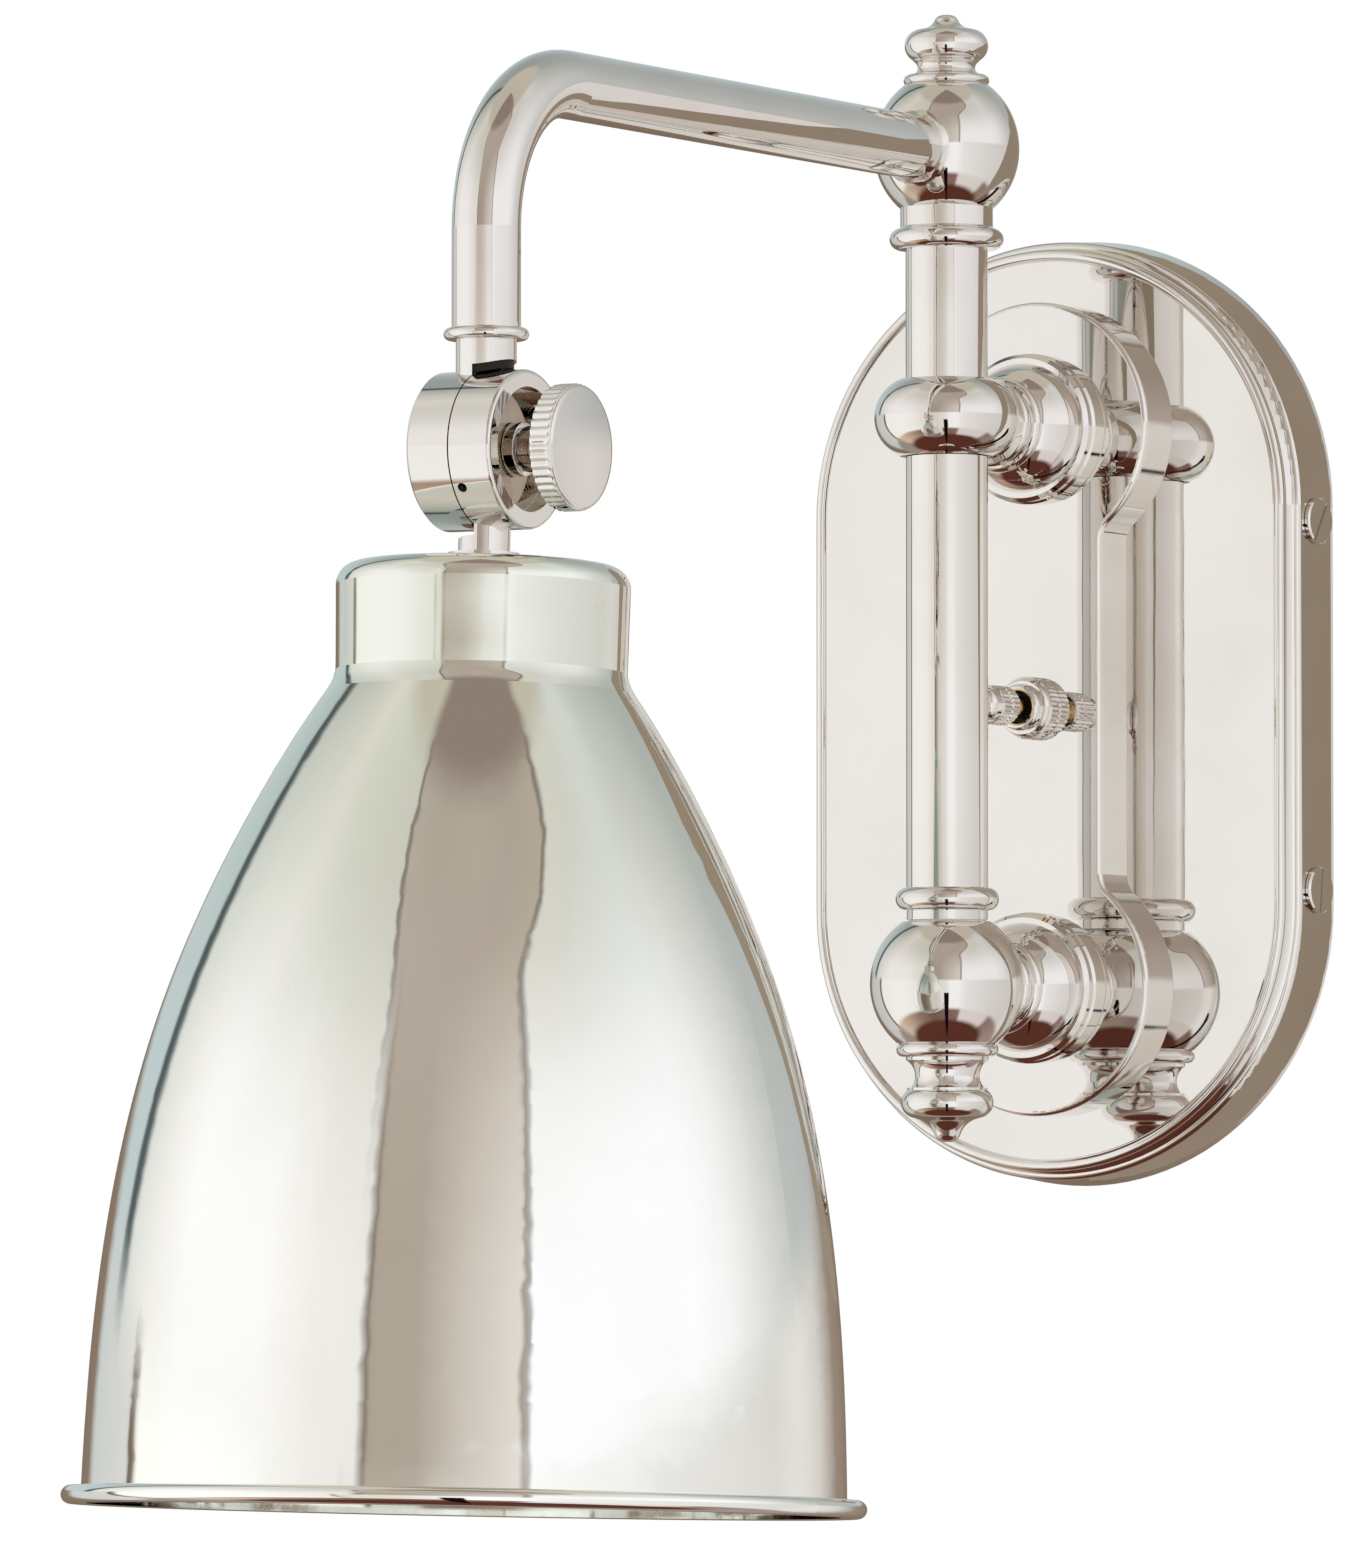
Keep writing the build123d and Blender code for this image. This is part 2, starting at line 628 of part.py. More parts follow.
# ---------------------------------------------------------------- swivel
chamber_radius = 10.0
boss_radius = 5.0
washer_outer = 14.4
washer_inner = 10.4
washer_seat = 0.8          # depth of the washer's seat in the upper half
stem_shoulder = 1.3        # the stem's shoulder stands this far above the shade's top
with BuildPart() as swivel_upper_half:
    with BuildSketch(swivel_plane):
        with Locations((-left_half_width, 0)):
            Rectangle(left_half_width - seam_gap, drum_radius, align=(Align.MIN, Align.MIN))
    revolve(axis=swivel_axis)
    outer_rim = swivel_upper_half.edges().filter_by(GeomType.CIRCLE).sort_by(Axis.X)[0]
    chamfer(outer_rim, 0.7)
    with BuildSketch(Plane((0, -drop_out, drum_height))):
        Circle(neck_radius)
    extrude(amount=neck_top - drum_height)
    with BuildSketch(Plane((0, -drop_out, neck_top))):
        Circle(thread_radius)
    extrude(amount=11)
    with BuildSketch(across_swivel.offset(-seam_gap)):
        Circle(neck_clearance)
    extrude(amount=20, mode=Mode.SUBTRACT)
    with BuildSketch(across_swivel.offset(-seam_gap)):
        Circle(chamber_radius)
        Circle(boss_radius, mode=Mode.SUBTRACT)
    extrude(amount=-5.2, mode=Mode.SUBTRACT)
    with BuildSketch(across_swivel.offset(-seam_gap)):
        Circle(washer_outer + seat_gap)
        Circle(washer_inner - seat_gap, mode=Mode.SUBTRACT)
    extrude(amount=-washer_seat, mode=Mode.SUBTRACT)
    with BuildSketch(across_swivel.offset(-seam_gap)):
        Circle(shank_radius + running_gap)
    extrude(amount=-7.3, mode=Mode.SUBTRACT)
    with BuildSketch(Plane((0, -drop_out, drum_height + 7.5))):
        Circle(wire_bore)
    extrude(amount=40, mode=Mode.SUBTRACT)
save(swivel_upper_half, "swivel_upper_half")

with BuildPart() as friction_washer:
    with BuildSketch(across_swivel.offset(-seam_gap - washer_seat)):
        Circle(washer_outer)
        Circle(washer_inner, mode=Mode.SUBTRACT)
    extrude(amount=1.05)
save(friction_washer, "friction_washer")

# A black bush under the neck, where the wire passes from the arm into the swivel
grommet_radius = 5.3
grommet_gap = 0.4
with BuildPart() as wire_grommet:
    with BuildSketch(across_swivel.offset(seat_gap - seam_gap)):
        Circle(neck_clearance - seat_gap)
        Circle(drum_radius + grommet_gap, mode=Mode.SUBTRACT)
    extrude(amount=2 * neck_radius)
    with BuildSketch(Plane((0, -drop_out, drum_height))):
        Circle(grommet_radius)
    extrude(amount=2 * drum_radius, mode=Mode.INTERSECT)
    with BuildSketch(Plane((0, -drop_out, drum_height))):
        Circle(wire_bore)
    extrude(amount=2 * drum_radius, mode=Mode.SUBTRACT)
save(wire_grommet, "wire_grommet")

recess_floor = 5.6
recess_radius = 11.9
stop_screw_place = 2.4     # along the swivel's axis
stop_screw_radius = 0.95
stop_screw_foot = 12.6     # inner end, from the swivel's axis
stop_way = (outward * math.cos(math.radians(31)) - Vector(0, 0, 1) * math.sin(math.radians(31))).normalized()
stop_plane = Plane(origin=drum_centre + swivel_way * stop_screw_place, x_dir=swivel_way, z_dir=stop_way)
with BuildPart() as swivel_lower_half:
    with BuildSketch(across_swivel.offset(seam_gap)):
        Circle(drum_radius)
    extrude(amount=right_half_width - seam_gap)
    outer_rim = swivel_lower_half.edges().filter_by(GeomType.CIRCLE).sort_by(Axis.X)[-1]
    fillet(outer_rim, 0.8)
    with BuildSketch(below(9)):
        Circle(stem_radius)
    extrude(amount=shade_top - stem_shoulder - 9)
    with BuildSketch(below(shade_top - stem_shoulder)):
        Circle(thread_radius)
    extrude(amount=34 - shade_top + stem_shoulder)
    with BuildSketch(across_swivel.offset(seam_gap)):
        Circle(neck_clearance)
    extrude(amount=-20, mode=Mode.SUBTRACT)
    with BuildSketch(across_swivel.offset(recess_floor)):
        Circle(recess_radius)
    extrude(amount=10, mode=Mode.SUBTRACT)
    with BuildSketch(across_swivel.offset(seam_gap)):
        Circle(chamber_radius)
        Circle(boss_radius, mode=Mode.SUBTRACT)
    extrude(amount=3.4, mode=Mode.SUBTRACT)
    with BuildSketch(across_swivel):
        Circle(shank_radius + 2 * running_gap)
    extrude(amount=20, mode=Mode.SUBTRACT)
    with BuildSketch(below(8.0)):
        Circle(wire_bore)
    extrude(amount=40, mode=Mode.SUBTRACT)
    with BuildSketch(stop_plane.offset(stop_screw_foot)):
        Circle(stop_screw_radius + seat_gap)
    extrude(amount=4, mode=Mode.SUBTRACT)
save(swivel_lower_half, "swivel_lower_half")

with BuildPart() as stop_screw:
    with BuildSketch(stop_plane.offset(stop_screw_foot)):
        Circle(stop_screw_radius)
    extrude(amount=1.7)
    with BuildSketch(stop_plane.offset(stop_screw_foot + 0.9)):
        RegularPolygon(0.5, 6)
    extrude(amount=1.0, mode=Mode.SUBTRACT)
save(stop_screw, "stop_screw")

head_start = 15.6          # back of the head, from the seam
head_knurl = 4.4
head_front = 5.1
head_dome = 0.5
head_face = head_start + head_front
head_end = head_face + head_dome
with BuildPart() as thumb_screw:
    with BuildSketch(swivel_plane):
        with BuildLine():
            Polyline(
                (-7.1, 0),
                (-7.1, shank_radius),
                (recess_floor + 0.1, shank_radius),
                (recess_floor + 0.1, 5.2),
                (8.6, 5.2),
                (9.2, 4.4),
                (head_start, 4.4),
                (head_start, head_radius - 0.5),
                (head_start + 0.5, head_radius),
                (head_start + head_knurl, head_radius),
                (head_start + head_knurl + 0.2, head_radius - 0.6),
                (head_face, head_radius - 0.9),
            )
            ThreePointArc((head_face, head_radius - 0.9), (head_face + 0.75 * head_dome, 6.0), (head_end, 1.0))
            Polyline((head_end, 1.0), (head_end, 0), (-7.1, 0))
        make_face()
    revolve(axis=swivel_axis)
save(thumb_screw, "thumb_screw")

# ---------------------------------------------------------------- shade and its washer and nut
with BuildPart() as shade_washer:
    with BuildSketch(below(shade_top - stem_shoulder)):
        Circle(6.8)
        Circle(thread_radius + seat_gap, mode=Mode.SUBTRACT)
    extrude(amount=stem_shoulder)
save(shade_washer, "shade_washer")

# The outline's points are (radius, distance below the swivel's axis)
flare_radius = 29.3        # where the bell leaves the waist
flare_start = 46.2
bell_points = (
    (flare_radius, flare_start),
    (43.7, 70.5),
    (60.4, 110.5),
    (69.4, 155.0),
    (shade_rim_radius, shade_rim - 3.4),
)
bell_tangents = ((0.57, -0.82), (0.03, -1.0))
waist_tangent = (-0.57, 0.82)
collar_foot_radius = 27.7
top_round = 4.4            # how far the collar's rounded shoulder reaches in from its side
bead_radial = shade_rim_radius + bead_radius + 0.3


def at(radius, depth):
    """A point of the outline in the lamp's section plane."""
    return (radius, -depth)


def bell_curve(inset):
    """The bell's outline as a smooth curve, drawn inwards by the sheet's thickness."""
    places = [at(radius - inset, depth) for radius, depth in bell_points]
    return Spline(*places, tangents=bell_tangents)


with BuildPart() as shade:
    with BuildSketch(lamp_plane):
        with BuildLine():
            outer = bell_curve(0)
            inner = bell_curve(shade_sheet)
            # rolled bead
            Line(outer @ 1, at(bead_radial, shade_rim - 2 * bead_radius))
            ThreePointArc(
                at(bead_radial, shade_rim - 2 * bead_radius),
                at(bead_radial + bead_radius, shade_rim - bead_radius),
                at(bead_radial, shade_rim),
            )
            Polyline(
                at(bead_radial, shade_rim),
                at(shade_rim_radius - shade_sheet, shade_rim - 0.2),
                inner @ 1,
            )
            # waist, collar side and rounded shoulder, outside
            TangentArc(outer @ 0, at(collar_foot_radius, shade_collar_end), tangent=waist_tangent)
            Line(at(collar_foot_radius, shade_collar_end), at(shade_collar_radius, shade_top + 5.2))
            ThreePointArc(
                at(shade_collar_radius, shade_top + 5.2),
                at(shade_collar_radius - 1.2, shade_top + 2.3),
                at(shade_collar_radius - top_round, shade_top + 1.0),
            )
            # flat top with its stem hole
            Polyline(
                at(shade_collar_radius - top_round, shade_top + 1.0),
                at(10, shade_top),
                at(thread_radius + seat_gap, shade_top),
                at(thread_radius + seat_gap, shade_top + shade_sheet),
                at(10, shade_top + shade_sheet),
                at(shade_collar_radius - top_round - 0.4, shade_top + 2.0),
            )
            # shoulder, collar side and waist, inside
            ThreePointArc(
                at(shade_collar_radius - top_round - 0.4, shade_top + 2.0),
                at(shade_collar_radius - 2.1, shade_top + 3.0),
                at(shade_collar_radius - shade_sheet, shade_top + 5.6),
            )
            Line(
                at(shade_collar_radius - shade_sheet, shade_top + 5.6),
                at(collar_foot_radius - shade_sheet, shade_collar_end + 0.4),
            )
            TangentArc(
                inner @ 0,
                at(collar_foot_radius - shade_sheet, shade_collar_end + 0.4),
                tangent=waist_tangent,
            )
        make_face()
    revolve(axis=lamp_axis)
save(shade, "shade")

with BuildPart() as stem_nut:
    with BuildSketch(below(shade_top + shade_sheet)):
        RegularPolygon(8.0, 6)
        Circle(thread_radius + seat_gap, mode=Mode.SUBTRACT)
    extrude(amount=4.0)
save(stem_nut, "stem_nut")

# ---------------------------------------------------------------- lampholder
bracket_top = holder_top - 1.6
holder_screw_out = 10.5
with BuildPart() as lampholder_bracket:
    with BuildSketch(below(bracket_top)):
        Circle(15)
        Circle(thread_radius + seat_gap, mode=Mode.SUBTRACT)
        with Locations((0, holder_screw_out), (0, -holder_screw_out)):
            Circle(1.6, mode=Mode.SUBTRACT)
    extrude(amount=1.6)
save(lampholder_bracket, "lampholder_bracket")

shell_top = 40.0
contact_top = 38.2         # the contact's plate lies in a pocket under the shell
with BuildPart() as lampholder_body:
    with BuildSketch(below(holder_top)):
        Circle(holder_radius)
    extrude(amount=holder_mouth - holder_top)
    chamfer(lampholder_body.edges().filter_by(GeomType.CIRCLE), 0.8)
    with BuildSketch(below(shell_top)):
        Circle(shell_radius + shell_sheet + 0.3)
    extrude(amount=holder_mouth - shell_top, mode=Mode.SUBTRACT)
    with BuildSketch(below(contact_top)):
        Circle(4.0 + 0.1)
    extrude(amount=shell_top - contact_top, mode=Mode.SUBTRACT)
    with BuildSketch(below(holder_top)):
        Circle(5.2)
    extrude(amount=7, mode=Mode.SUBTRACT)
    with BuildSketch(below(holder_top)):
        with Locations((0, holder_screw_out), (0, -holder_screw_out)):
            Circle(1.5 + seat_gap)
    extrude(amount=8.0, mode=Mode.SUBTRACT)
    terminal_plane = Plane(origin=drum_centre - stem_up * 33, x_dir=stem_up, z_dir=swivel_way)
    with BuildSketch(terminal_plane):
        Circle(1.8 + seat_gap)
    extrude(amount=30, both=True, mode=Mode.SUBTRACT)
    with BuildSketch(terminal_plane.offset(holder_radius - 2.4)):
        Circle(4.2)
    extrude(amount=6, mode=Mode.SUBTRACT)
    with BuildSketch(terminal_plane.offset(-holder_radius + 2.4)):
        Circle(4.2)
    extrude(amount=-6, mode=Mode.SUBTRACT)
save(lampholder_body, "lampholder_body")

with BuildPart() as bracket_screws:
    for side in (-1, 1):
        with BuildSketch(below(bracket_top)):
            with Locations((0, side * holder_screw_out)):
                Circle(2.6)
        extrude(amount=-1.4)
        with BuildSketch(below(bracket_top)):
            with Locations((0, side * holder_screw_out)):
                Circle(1.5)
        extrude(amount=9.0)
save(bracket_screws, "bracket_screws")

with BuildPart() as terminal_screws:
    for side in (-1, 1):
        with BuildSketch(terminal_plane.offset(side * (holder_radius - 2.4))):
            Circle(3.4)
        extrude(amount=side * 1.8)
        with BuildSketch(terminal_plane.offset(side * (holder_radius - 1.4))):
            Rectangle(8, 0.9)
        extrude(amount=side * 1.4, mode=Mode.SUBTRACT)
        with BuildSketch(terminal_plane.offset(side * (holder_radius - 2.4))):
            Circle(1.8)
        extrude(amount=-side * 7)
save(terminal_screws, "terminal_screws")

with BuildPart() as screw_shell:
    with BuildSketch(below(shell_top)):
        Circle(shell_radius + shell_sheet)
    extrude(amount=26.0)
    with BuildSketch(below(shell_top + shell_sheet)):
        Circle(shell_radius)
    extrude(amount=30, mode=Mode.SUBTRACT)
    with BuildSketch(below(shell_top)):
        Circle(7)
    extrude(amount=2, mode=Mode.SUBTRACT)
save(screw_shell, "screw_shell")

with BuildPart() as centre_contact:
    with BuildSketch(below(contact_top)):
        Circle(4.0)
    extrude(amount=0.6)
    with BuildSketch(below(contact_top + 0.6)):
        Circle(2.5)
    extrude(amount=1.5)
    fillet(centre_contact.edges().filter_by(GeomType.CIRCLE).sort_by(Axis.Z)[0], 0.6)
save(centre_contact, "centre_contact")
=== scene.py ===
import json
import math

import bmesh
import bpy
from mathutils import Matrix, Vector


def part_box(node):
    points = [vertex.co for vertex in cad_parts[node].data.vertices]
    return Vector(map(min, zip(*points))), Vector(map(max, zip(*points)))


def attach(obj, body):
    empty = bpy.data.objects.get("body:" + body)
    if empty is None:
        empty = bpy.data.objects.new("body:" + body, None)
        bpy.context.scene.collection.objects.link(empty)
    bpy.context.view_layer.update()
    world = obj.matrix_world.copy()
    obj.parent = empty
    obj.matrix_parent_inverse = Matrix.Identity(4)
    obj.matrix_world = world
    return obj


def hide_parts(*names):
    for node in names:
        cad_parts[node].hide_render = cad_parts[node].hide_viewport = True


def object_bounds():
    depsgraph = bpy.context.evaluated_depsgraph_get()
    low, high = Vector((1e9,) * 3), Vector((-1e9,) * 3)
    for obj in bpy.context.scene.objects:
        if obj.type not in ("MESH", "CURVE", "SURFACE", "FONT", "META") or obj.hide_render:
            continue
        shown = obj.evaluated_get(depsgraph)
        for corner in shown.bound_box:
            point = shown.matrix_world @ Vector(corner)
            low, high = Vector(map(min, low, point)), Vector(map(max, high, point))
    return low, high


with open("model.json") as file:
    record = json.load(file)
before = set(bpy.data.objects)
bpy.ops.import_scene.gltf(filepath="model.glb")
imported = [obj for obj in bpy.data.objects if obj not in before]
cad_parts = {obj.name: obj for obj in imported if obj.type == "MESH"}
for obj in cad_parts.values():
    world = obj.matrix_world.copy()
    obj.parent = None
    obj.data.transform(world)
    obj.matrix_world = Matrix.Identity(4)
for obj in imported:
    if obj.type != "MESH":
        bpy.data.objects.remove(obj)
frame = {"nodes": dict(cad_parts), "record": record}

cad_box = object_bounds()
mm = 0.001
nodes = frame["nodes"]
joints = {joint["name"]: joint for joint in frame["record"]["behaviour"]["joints"]}
mounts = {mount["name"]: mount for mount in frame["record"]["mounts"]}

# ---------------------------------------------------------------- camera
camera_place = Vector((1.0927, -2.1142, -0.1146))
camera_azimuth = 29.394
camera_pitch = 2.412
camera_lens = 262.65

camera_data = bpy.data.cameras.new("camera")
camera_data.lens = camera_lens
camera_data.sensor_width = 36.0
camera = bpy.data.objects.new("camera", camera_data)
camera.location = camera_place
camera.rotation_euler = (math.radians(90 + camera_pitch), 0, math.radians(camera_azimuth))
bpy.context.scene.collection.objects.link(camera)
bpy.context.scene.camera = camera
bpy.context.scene.view_settings.view_transform = "Standard"

# ---------------------------------------------------------------- colours
nickel_bright = (0.81, 0.785, 0.76)
nickel_dull = (0.775, 0.745, 0.71)
shade_bright = (0.95, 0.96, 0.935)
shade_dull = (0.92, 0.93, 0.90)
# The shade's shoulder colour is darker than its foot: painted shade on the top of the bell.
shade_shoulder_dimmed = (0.84, 0.86, 0.80)


def linear(red, green, blue):
    """A colour written as 0-255 display values, in the linear values that shaders take."""
    channels = []
    for value in (red, green, blue):
        share = value / 255
        channels.append(share / 12.92 if share <= 0.04045 else ((share + 0.055) / 1.055) ** 2.4)
    return (*channels, 1.0)


def seen_in(metal, *display):
    """The light that a mirror of this metal shows as that display colour."""
    shown = linear(*display)
    return tuple(shown[channel] / metal[channel] for channel in range(3)) + (1.0,)


# ---------------------------------------------------------------- node helpers
class Tree:
    """Short calls that add and join shader nodes. An input is either a constant or another node's output."""

    def __init__(self, tree):
        self.tree = tree

    def put(self, socket, value):
        if isinstance(value, bpy.types.NodeSocket):
            self.tree.links.new(value, socket)
        elif value is not None:
            socket.default_value = value

    def node(self, kind, inputs=None, **settings):
        made = self.tree.nodes.new(kind)
        for name, value in settings.items():
            setattr(made, name, value)
        for name, value in (inputs or {}).items():
            self.put(made.inputs[name], value)
        return made

    def math(self, operation, first, second=None, third=None):
        made = self.node("ShaderNodeMath", operation=operation)
        for socket, value in zip(made.inputs, (first, second, third)):
            self.put(socket, value)
        return made.outputs[0]

    def dot(self, vector, constant):
        made = self.node("ShaderNodeVectorMath", operation="DOT_PRODUCT")
        self.put(made.inputs[0], vector)
        made.inputs[1].default_value = constant
        return made.outputs["Value"]

    def ease(self, value, start, end, low=0.0, high=1.0):
        """A smooth step from low at start to high at end."""
        inputs = {"Value": value, "From Min": start, "From Max": end, "To Min": low, "To Max": high}
        return self.node("ShaderNodeMapRange", inputs, interpolation_type="SMOOTHSTEP").outputs["Result"]

    def window(self, value, low, high, soft):
        """1 between low and high and 0 outside, with soft edges."""
        rise = self.ease(value, low - soft, low + soft)
        fall = self.ease(value, high - soft, high + soft, 1.0, 0.0)
        return self.math("MULTIPLY", rise, fall)

    def mix(self, share, first, second):
        made = self.node("ShaderNodeMix", data_type="RGBA", blend_type="MIX")
        self.put(made.inputs["Factor"], share)
        colours = [socket for socket in made.inputs if socket.type == "RGBA"]
        self.put(colours[0], first)
        self.put(colours[1], second)
        return [socket for socket in made.outputs if socket.type == "RGBA"][0]

    def noise(self, coordinates, scale, detail=3.0, roughness=0.55):
        inputs = {"Vector": coordinates, "Scale": scale, "Detail": detail, "Roughness": roughness}
        return self.node("ShaderNodeTexNoise", inputs).outputs["Fac"]

    def stretched(self, coordinates, scale):
        """Coordinates scaled by a different amount along each axis."""
        return self.node("ShaderNodeMapping", {"Vector": coordinates, "Scale": scale}).outputs["Vector"]

    def panorama(self, bearing, stops):
        """A colour for each bearing, from (bearing, colour) pairs in order."""
        made = self.node("ShaderNodeValToRGB")
        self.put(made.inputs["Fac"], self.math("MULTIPLY_ADD", bearing, 1 / 360, 0.5))
        points = made.color_ramp.elements
        while len(points) < len(stops):
            points.new(0.5)
        for point, (place, colour) in zip(points, stops):
            point.position = place / 360 + 0.5
            point.color = colour
        return made.outputs["Color"]


# ---------------------------------------------------------------- studio
# A light tent: two white sides with a gap between them for the camera, and a taupe room beyond and overhead.
# Bearings are measured from the camera's fixed direction, positive towards its right. Rise is the elevation.
# The stops were given one by one, but many repeat the colour that the photo's nickel shows in that direction.
# So this is a coarse copy of the photo's surroundings and not plain studio light.
towards_camera = (math.sin(math.radians(camera_azimuth)), -math.cos(math.radians(camera_azimuth)), 0)
camera_right = (math.cos(math.radians(camera_azimuth)), math.sin(math.radians(camera_azimuth)), 0)

world = bpy.data.worlds.new("studio")
bpy.context.scene.world = world
world.use_nodes = True
world.node_tree.nodes.clear()
sky = Tree(world.node_tree)
ray = sky.node("ShaderNodeTexCoord").outputs["Generated"]
bearing_radians = sky.math("ARCTAN2", sky.dot(ray, camera_right), sky.dot(ray, towards_camera))
bearing = sky.math("DEGREES", bearing_radians)
rise = sky.math("DEGREES", sky.math("ARCSINE", sky.dot(ray, (0, 0, 1))))


def level_stops():
    """The tent at the height of the lamp, as the nickel shows it."""
    stops = [
        (-180, 116, 99, 84), (-156, 126, 109, 94), (-149, 188, 189, 186), (-122.5, 202, 198, 193),
        (-121, 112, 97, 85), (-118.5, 112, 97, 85),
        (-116, 238, 234, 226), (-81, 241, 238, 234), (-60, 237, 234, 230), (-38, 224, 217, 208),
        (-36.5, 150, 130, 112), (-35, 211, 201, 189), (-20, 214, 204, 193), (-3, 226, 221, 214),
        (3, 240, 238, 235), (15, 241, 239, 237), (28, 227, 223, 219), (60, 217, 212, 208),
        (81, 211, 206, 201), (108, 203, 198, 192), (123, 214, 207, 201), (136, 196, 190, 183),
        (152, 140, 124, 110), (180, 116, 99, 84),
    ]
    return [(stop[0], seen_in(nickel_bright, *stop[1:])) for stop in stops]


def raised_stops():
    """The tent just above that, as the foot of the shade shows it."""
    stops = [
        (-180, 190, 203, 203), (-141, 192, 206, 205), (-139, 80, 90, 92),
        (-135.5, 88, 96, 96), (-132, 222, 226, 218),
        (-114, 244, 242, 236), (-98, 253, 253, 252), (-66, 252, 251, 248), (-48, 240, 238, 231),
        (-32, 235, 235, 228), (-30, 120, 108, 95), (-28, 174, 163, 148), (-14, 175, 165, 151),
        (0, 203, 195, 184), (17, 224, 217, 208), (19, 112, 100, 90), (21, 254, 254, 254),
        (76, 254, 254, 254), (90, 245, 245, 244), (108, 220, 220, 217), (128, 186, 190, 186),
        (150, 178, 183, 181), (180, 190, 203, 203),
    ]
    return [(stop[0], seen_in(shade_bright, *stop[1:])) for stop in stops]


def high_stops():
    """The top of the tent, as the shoulder of the shade shows it."""
    stops = [
        (-180, 150, 160, 152), (-141, 150, 160, 152), (-139, 80, 88, 86),
        (-135.5, 84, 92, 90), (-131, 168, 174, 163),
        (-112, 198, 200, 185), (-92, 216, 214, 201), (-72, 206, 208, 193), (-35, 200, 200, 186),
        (-33.5, 104, 92, 80), (-31, 176, 168, 153), (-7, 172, 161, 147), (15.5, 175, 166, 149),
        (17.6, 100, 90, 80), (20.5, 208, 208, 194), (37, 206, 206, 193), (66, 208, 212, 203),
        (80, 206, 210, 200), (99, 193, 196, 186), (119, 177, 182, 171), (140, 160, 166, 158),
        (180, 150, 160, 152),
    ]
    return [(stop[0], seen_in(shade_shoulder_dimmed, *stop[1:])) for stop in stops]


def ground_stops():
    """The table and the floor of the tent, with the right side coming lower than the left one."""
    stops = [
        (-180, 150, 138, 126), (-125, 146, 136, 124), (-110, 205, 182, 162), (-80, 176, 150, 128),
        (-57, 140, 115, 98), (-30, 110, 88, 74), (18, 132, 103, 94), (24, 215, 206, 200),
        (76, 210, 201, 195), (86, 134, 112, 104), (120, 150, 130, 122), (180, 150, 138, 126),
    ]
    return [(stop[0], seen_in(nickel_bright, *stop[1:])) for stop in stops]


gap_dark = seen_in(shade_shoulder_dimmed, 140, 126, 114)
overhead = seen_in(nickel_bright, 187, 178, 162)
ground_deep = seen_in(nickel_bright, 86, 47, 37)
pole = seen_in(nickel_bright, 20, 8, 14)

# The tent's sides lean back, the right one more, so the gap widens with height
lean_back = sky.math("ADD", sky.ease(rise, 7, 41, 0, 3.5), sky.ease(rise, 41, 58, 0, 27))
right_of_gap = sky.math("MULTIPLY", sky.ease(bearing, -25, 10), sky.ease(bearing, 115, 55))
left_of_gap = sky.math("MULTIPLY", sky.ease(bearing, -5, -25), sky.ease(bearing, -115, -60))
leaning = sky.math("SUBTRACT", bearing, sky.math("MULTIPLY", lean_back, right_of_gap))
leaning = sky.math("ADD", leaning, sky.math("MULTIPLY", sky.ease(rise, 38, 58, 0, 9), left_of_gap))

colour = sky.panorama(bearing, level_stops())
colour = sky.mix(sky.ease(rise, 3.2, 7.2), colour, sky.panorama(leaning, raised_stops()))
colour = sky.mix(sky.ease(rise, 14, 52), colour, sky.panorama(leaning, high_stops()))
top_colour = sky.mix(sky.window(bearing, -46, 52, 6), overhead, gap_dark)
colour = sky.mix(sky.ease(rise, 59, 66), colour, top_colour)
colour = sky.mix(sky.ease(rise, -34, -41), colour, sky.panorama(bearing, ground_stops()))
colour = sky.mix(sky.ease(rise, -51, -60), colour, ground_deep)
stand = sky.math("MULTIPLY", sky.window(bearing, -6.5, 0.8, 0.6), sky.ease(rise, -13, -14.5))
colour = sky.mix(stand, colour, pole)

is_camera = sky.node("ShaderNodeLightPath").outputs["Is Camera Ray"]
seen = sky.mix(is_camera, colour, (1.0, 1.0, 1.0, 1.0))
background = sky.node("ShaderNodeBackground", {"Color": seen, "Strength": 1.0})
sky.node("ShaderNodeOutputWorld", {"Surface": background.outputs["Background"]})


def soft_light(name, place, target, size, watts):
    """A square area light at place, facing target, that mirrors don't show."""
    data = bpy.data.lights.new(name, "AREA")
    data.shape = "SQUARE"
    data.size = size
    data.energy = watts
    made = bpy.data.objects.new(name, data)
    made.location = place
    made.rotation_euler = (Vector(target) - Vector(place)).to_track_quat("-Z", "Y").to_euler()
    made.visible_glossy = False
    bpy.context.scene.collection.objects.link(made)


middle = (Vector(cad_box[0]) + Vector(cad_box[1])) / 2
light_size = 0.9
key_watts = 8
fill_watts = 4
soft_light("key", middle + Vector((-0.9, -1.1, 0.9)), middle, light_size, key_watts)
soft_light("fill", middle + Vector((1.2, -0.7, 0.2)), middle, light_size, fill_watts)

floor_drop = 0.45
floor_half = 3.0
floor_mesh = bpy.data.meshes.new("floor")
corner_signs = [(-1, -1), (1, -1), (1, 1), (-1, 1)]
floor_mesh.from_pydata([(floor_half * x, floor_half * y, 0) for x, y in corner_signs], [], [(0, 1, 2, 3)])
floor = bpy.data.objects.new("floor", floor_mesh)
floor.location = (0, 0, -floor_drop)
floor.visible_glossy = False
bpy.context.scene.collection.objects.link(floor)

